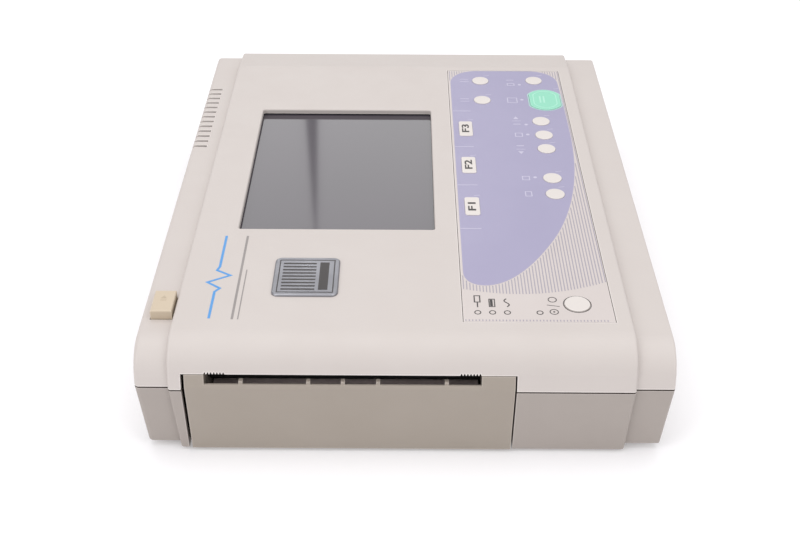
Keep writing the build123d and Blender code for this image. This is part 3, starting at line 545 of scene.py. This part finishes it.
def field_outline():
    """Edge of the lavender field: round far corners and one long curve down the right side."""
    y = FIELD_TOP - FIELD_CORNER
    points = arc((FIELD_LEFT + FIELD_CORNER, y), FIELD_CORNER, 180, 90)
    points += arc((FIELD_RIGHT_TOP - FIELD_CORNER, y), FIELD_CORNER, 90, 0)
    for first_handle, last_handle, end, steps in FIELD_CURVE:
        points += cubic(points[-1], first_handle, last_handle, end, steps)
    return points


KEY_OUTLINE_STEPS = 48
ROUND_POWER, SOFT_POWER = 2.0, 6.0
BARREL_CUT = 1.2
CAP_CLEAR = 0.1  # key vertices higher than this over the film belong to its cap


def key_curve(node, angle):
    """Point on a key's outline at an angle, as shares of its reach along X and Y."""
    c, s = math.cos(angle), math.sin(angle)
    if node == "start_key":
        # A barrel: a wide ellipse cut off at both sides.
        return max(-1.0, min(1.0, BARREL_CUT * c)), s
    power = SOFT_POWER if node.startswith("soft") else ROUND_POWER
    return math.copysign(abs(c) ** (2 / power), c), math.copysign(abs(s) ** (2 / power), s)


def key_hole(node, gap):
    """Outline a gap outside a key's cap, whose size is read from the key itself."""
    centre = centre_of(node)
    caps = [v.co / MM for v in nodes[node].data.vertices if v.co.z / MM > OVERLAY_TOP + CAP_CLEAR]
    reach_x = max(abs(p.x - centre.x) for p in caps) + gap
    reach_y = max(abs(p.y - centre.y) for p in caps) + gap
    loop = []
    for step in range(KEY_OUTLINE_STEPS):
        x, y = key_curve(node, math.radians(step * 360 / KEY_OUTLINE_STEPS))
        loop.append((centre.x + reach_x * x, centre.y + reach_y * y))
    return loop


def inside(point, loop):
    """Whether a point lies inside a closed outline."""
    x, y = point
    hit = False
    for (ax, ay), (bx, by) in zip(loop, loop[1:] + loop[:1]):
        if (ay > y) != (by > y) and x < (bx - ax) * (y - ay) / (by - ay) + ax:
            hit = not hit
    return hit


# Fine lines outside the field. Their near ends follow a shallow curve, lowest at HATCH_MIDDLE.
HATCH_PITCH = 1.38
HATCH_WIDTH = 0.42
HATCH_LEFT, HATCH_RIGHT, HATCH_FAR = 0.9, 0.4, 0.6  # margins inside the film's edges
HATCH_FLOOR = -102.4
HATCH_MIDDLE = 48.0
HATCH_CURVE = 0.0065
HATCH_CLEAR = 0.4  # kept free beside the field
HATCH_FIELD_GAP, HATCH_END_GAP = 0.5, 0.3
HATCH_STEP = 0.25
HATCH_SHORTEST = 1.0
TICK_MARGIN_X, TICK_MARGIN_Y = 1, 0.5
TICK_LENGTH = 1.1


def free_runs(x, field):
    """Stretches of the line at x outside the field: low, high, and the gap to leave at the end."""
    y = HATCH_FLOOR + HATCH_CURVE * (x - HATCH_MIDDLE) ** 2
    start = None
    while y <= OVERLAY_HIGH.y - HATCH_FAR:
        free = not any(inside((x + dx, y), field) for dx in (-HATCH_CLEAR, 0.0, HATCH_CLEAR))
        if free and start is None:
            start = y
        if not free and start is not None:
            yield start, y, HATCH_FIELD_GAP
            start = None
        y += HATCH_STEP
    if start is not None:
        yield start, y, HATCH_END_GAP


def hatch_loops(field):
    """Lines along Y over the film outside the field."""
    loops = []
    x = OVERLAY_LOW.x + HATCH_LEFT
    while x < OVERLAY_HIGH.x - HATCH_RIGHT:
        for low, high, gap in free_runs(x, field):
            if high - low > HATCH_SHORTEST:
                loops.append(bar_y(x, (low, high - gap), HATCH_WIDTH))
        x += HATCH_PITCH
    return loops


def tick_loops():
    """Row of short ticks along the near edge of the film."""
    count = int((OVERLAY_HIGH.x - OVERLAY_LOW.x - 2 * TICK_MARGIN_X) / HATCH_PITCH)
    y = OVERLAY_LOW.y + TICK_MARGIN_Y
    places = [OVERLAY_LOW.x + TICK_MARGIN_X + i * HATCH_PITCH for i in range(count)]
    return [bar_y(x, (y, y + TICK_LENGTH), HATCH_WIDTH) for x in places]


DIVIDER_X = (25.2, 34.7)
DIVIDER_Y = (-51.3, -12.2, 26.1, 65.5)
KEY_LAMP_X = 63.1
KEY_LAMP_Y = (97.6, 79.2, 50.3, 39.4, -4.6)
KEY_LAMP_RADIUS, KEY_LAMP_CORNERS = 0.9, 16
KEY_HOLE_GAP = 0.12


def key_dash(node):
    """Short, slightly rising dash beyond a key."""
    high = mm_box(node)[1]
    x, y = high.x - 1.6, high.y + 1.4
    return strip((x - 1.6, y - 0.3), (x + 1.4, y + 0.3), 0.35)


def print_keypad():
    """The lavender field with holes for its keys, the fine lines round it, and its pale marks."""
    field = field_outline()
    keys = [n for n in KEY_NODES if n != "power_key"]
    holes = [key_hole(n, KEY_HOLE_GAP) for n in keys]
    print_mark("lavender_field", [field] + holes, OVERLAY_TOP, LAVENDER)
    print_mark("hatch_lines", hatch_loops(field) + tick_loops(), OVERLAY_TOP, HATCH)
    dividers = [bar_x(DIVIDER_X, y, 0.5) for y in DIVIDER_Y]
    print_mark("divider_lines", dividers, OVERLAY_TOP + INK, PALE_INK)
    lamps = [disc((KEY_LAMP_X, y), KEY_LAMP_RADIUS, KEY_LAMP_CORNERS) for y in KEY_LAMP_Y]
    print_mark("key_lamp_dots", lamps, OVERLAY_TOP + INK, PALE_INK)
    print_mark("key_dashes", [key_dash(n) for n in keys], OVERLAY_TOP + INK, PALE_INK)


START_RIM_GAPS = (0.8, 0.2)
START_CONTOUR_GAPS = (-1.9, -2.4)
START_BARS = (-2.6, -0.6)
START_BAR_HALF, START_BAR_WIDTH = 4, 0.9


def print_start_key():
    """Pale rim round the start key, and a plain contour with two bars on it."""
    rim = [key_hole("start_key", gap) for gap in START_RIM_GAPS]
    print_mark("start_rim_print", rim, OVERLAY_TOP + INK, START_EDGE)
    centre = centre_of("start_key")
    top = mm_box("start_key")[1].z
    reach = (centre.y - START_BAR_HALF, centre.y + START_BAR_HALF)
    loops = [key_hole("start_key", gap) for gap in START_CONTOUR_GAPS]
    loops += [bar_y(centre.x + d, reach, START_BAR_WIDTH) for d in START_BARS]
    print_mark("start_key_print", loops, top, START_INNER, body="start_key_body")


# Icons beside the keys, in millimetres. Arrows are a place along Y and the way they point.
ICON_LINE = 0.5
ICON_BARS = ((32.8, 102.7), (32.1, 78.5))
ICON_BOXES = (
    ((55.1, 60.6), (75.4, 81.6)),
    ((56.5, 60.5), (36.9, 41.1)),
    ((56.7, 60.5), (-7.4, -3.4)),
    ((57.0, 60.4), (-22.6, -18.0)),
    ((56.2, 60.4), (96.4, 99.4)),
)
ICON_DASH = ((56.2, 60.2), 103.4)
ICON_ARROWS = ((54.4, 1), (23.6, -1))


def arrow_loops(y, way):
    """Triangle, thin bar and thick bar in a row along Y."""
    near, far = y + way * 2.2, y + way * 5.0
    head = [(56.8, near), (59.6, near), (58.2, far)]
    return [head, bar_x((56.0, 60.6), y, 0.4), bar_x((56.4, 60.2), y - way * 3.6, 0.7)]


def print_key_icons():
    """Faint generic marks left of the keys: bars, boxes and arrows."""
    loops = []
    for x, y in ICON_BARS:
        loops += [bar_x((x - 2.4, x + 2.4), y + side, ICON_LINE) for side in (-1.5, 1.5)]
    for x, y in ICON_BOXES:
        loops += frame_loops(x, y, ICON_LINE)
    loops.append(bar_x(*ICON_DASH, 0.6))
    for y, way in ICON_ARROWS:
        loops += arrow_loops(y, way)
    print_mark("key_icons", loops, OVERLAY_TOP + INK, PALE_INK)


STATUS_LAMP_X = (30.0, 36.1, 42.2, 55.6)
STATUS_LAMP_Y = -115.6
STATUS_RING = (1.45, 0.42)
PLUG_X, PLUG_Y = (28.7, 31.5), (-108.6, -103.6)
PLUG_CORD_X, PLUG_CORD_Y = 30.1, (-112.0, -108.6)
BATTERY_X, BATTERY_Y = (34.8, 37.5), (-111.8, -106.0)
BATTERY_LEVEL_X, BATTERY_LEVEL_Y = (35.4, 36.5), (-111.2, -106.6)
WAVE_X, WAVE_Y = 42.3, -111.6
WAVE_POINTS = 16
WAVE_TURN, WAVE_STEP = 0.42, 0.38  # radians and mm from one point to the next
STANDBY_X = 61.5
STANDBY_NEAR, STANDBY_FAR = -115.0, -106.4
STANDBY_RING = (1.9, 0.38)
POWER_RING = (5.95, 0.3)


def standby_loops():
    """Ring with a dot, a slanted rule and an empty ring: on and off."""
    near = (STANDBY_X, STANDBY_NEAR)
    loops = ring(near, *STANDBY_RING)
    loops.append(disc(near, 0.45, 12))
    loops.append(strip((STANDBY_X - 2.6, -110.2), (STANDBY_X + 2.6, -111.2), 0.3))
    return loops + ring((STANDBY_X, STANDBY_FAR), *STANDBY_RING)


def print_status_row():
    """Lamp rings, a plug, a battery, a wave and a standby mark on the near part of the film."""
    loops = []
    for x in STATUS_LAMP_X:
        loops += ring((x, STATUS_LAMP_Y), *STATUS_RING)
    loops += frame_loops(PLUG_X, PLUG_Y, 0.5)
    loops.append(bar_y(PLUG_CORD_X, PLUG_CORD_Y, 0.5))
    loops += frame_loops(BATTERY_X, BATTERY_Y, 0.45)
    level = [box(BATTERY_LEVEL_X, BATTERY_LEVEL_Y)]
    print_mark("battery_level", level, OVERLAY_TOP, DARK_INK)
    wave = [(WAVE_X + math.sin(t * WAVE_TURN), WAVE_Y + t * WAVE_STEP) for t in range(WAVE_POINTS)]
    loops.append(ribbon(wave, 0.5))
    loops += standby_loops()
    print_mark("status_marks", loops, OVERLAY_TOP, DARK_INK)
    power = centre_of("power_key")
    print_mark("power_ring", ring((power.x, power.y), *POWER_RING), OVERLAY_TOP, DARK_INK)


# ------------------------------------------------------------------ case, button and key marks
PULSE_WIDTH = 1.1
PULSE_LINE = (
    (-80.1, -121.0), (-80.1, -102.2), (-78.2, -99.6), (-84.0, -95.2),
    (-74.8, -90.0), (-81.0, -86.2), (-80.1, -83.4), (-80.1, -58.7),
)
# Place along X, limits along Y and width of each rule.
CASE_RULES = ((-70.6, (-121.5, -58.7), 1.0), (-68.2, (-121.5, -85.6), 0.5))


def print_case_marks():
    """A plain pulse line and two rules beside the display, in place of lettering."""
    pulse = [ribbon(PULSE_LINE, PULSE_WIDTH)]
    print_mark("pulse_line", pulse, BAND_TOP, BLUE_INK)
    rules = [bar_y(*rule) for rule in CASE_RULES]
    print_mark("grey_rules", rules, BAND_TOP, GREY_INK)


def print_release_mark():
    """Triangle over a short bar on the release button."""
    low, high = mm_box("release_button")
    x, y = (low.x + high.x) / 2, (low.y + high.y) / 2 + 1.5
    across = (x - 1.3, x + 1.3)
    eject = [[(across[0], y), (across[1], y), (x, y + 2.0)], bar_x(across, y - 1.2, 0.45)]
    print_mark("release_mark", eject, high.z, BUTTON_INK, body="button")


LABEL_MARGIN = 2
LABEL_BORDER = 0.5
LABEL_RULES = 9
LABEL_PITCH = 2.4


def print_label():
    """Border, even stripes and a plain bar on the silver label."""
    low, high = mm_box("asset_label")
    x, y = inset((low.x, high.x), (low.y, high.y), LABEL_MARGIN)
    loops = frame_loops(x, y, LABEL_BORDER)
    loops.append(box((x[1] - 6.5, x[1] - 2.5), (y[0] + 2, y[1] - 2)))
    across = (x[0] + 1.8, x[1] - 8)
    loops += [bar_x(across, y[0] + LABEL_PITCH + LABEL_PITCH * i, 1.0) for i in range(LABEL_RULES)]
    print_mark("label_rules", loops, high.z, DARK_INK)


def print_lettering():
    """F1, F2 and F3 on the soft keys."""
    for number in (1, 2, 3):
        node = f"soft_key_{number}"
        top = mm_box(node)[1].z
        name = f"soft_key_letter_{number}"
        print_letters(name, f"F{number}", centre_of(node), top, DARK_INK, node + "_body")


make_camera()
make_studio()
dress_nodes()
print_keypad()
print_start_key()
print_key_icons()
print_status_row()
print_case_marks()
print_release_mark()
print_label()
print_lettering()
